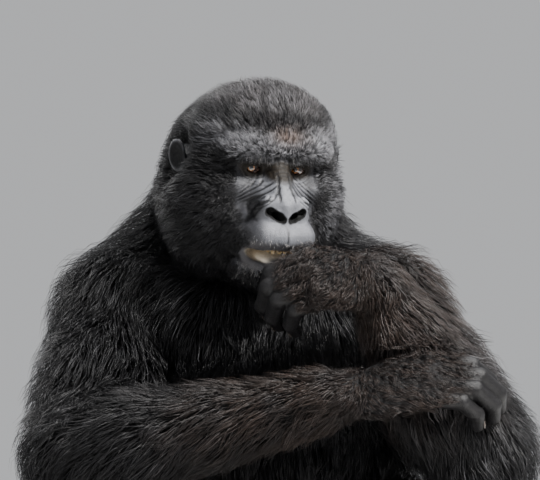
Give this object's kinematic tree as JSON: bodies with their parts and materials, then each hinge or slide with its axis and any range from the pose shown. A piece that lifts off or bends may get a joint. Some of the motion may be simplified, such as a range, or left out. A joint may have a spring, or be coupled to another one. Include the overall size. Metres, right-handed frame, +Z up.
{
  "type": "gorilla",
  "caption": "Life-size still model of a sitting mountain gorilla, one hand raised to its mouth, the other forearm laid across its belly.",
  "frame": {"origin": "middle of the bounding box, on the floor plane under the animal", "axes": "+Z up, the trunk faces -Y, +X is the animal's left"},
  "size_m": [0.8613, 0.8468, 0.8071],
  "materials": {
    "coat_hair": "long black hair",
    "bare_skin": "bare black-grey skin",
    "eye": "wet brown eye",
    "nail_horn": "dark horn",
    "tooth": "stained enamel"
  },
  "bodies": {
    "root": {"abdomen": "coat_hair", "chest": "coat_hair", "head": "coat_hair", "left_ear": "bare_skin", "left_eye": "eye", "left_foot": "bare_skin", "left_foot_nail_1": "nail_horn", "left_foot_nail_2": "nail_horn", "left_foot_nail_3": "nail_horn", "left_foot_nail_4": "nail_horn", "left_foot_nail_5": "nail_horn", "left_forearm": "coat_hair", "left_hand": "bare_skin", "left_hand_nail_1": "nail_horn", "left_hand_nail_2": "nail_horn", "left_hand_nail_3": "nail_horn", "left_hand_nail_4": "nail_horn", "left_shin": "coat_hair", "left_thigh": "coat_hair", "left_upper_arm": "coat_hair", "neck": "coat_hair", "pelvis": "coat_hair", "right_ear": "bare_skin", "right_eye": "eye", "right_foot": "bare_skin", "right_foot_nail_1": "nail_horn", "right_foot_nail_2": "nail_horn", "right_foot_nail_3": "nail_horn", "right_foot_nail_4": "nail_horn", "right_foot_nail_5": "nail_horn", "right_forearm": "coat_hair", "right_hand": "bare_skin", "right_hand_nail_4": "nail_horn", "right_shin": "coat_hair", "right_thigh": "coat_hair", "right_upper_arm": "coat_hair", "upper_teeth": "tooth"}
  },
  "joints": []
}
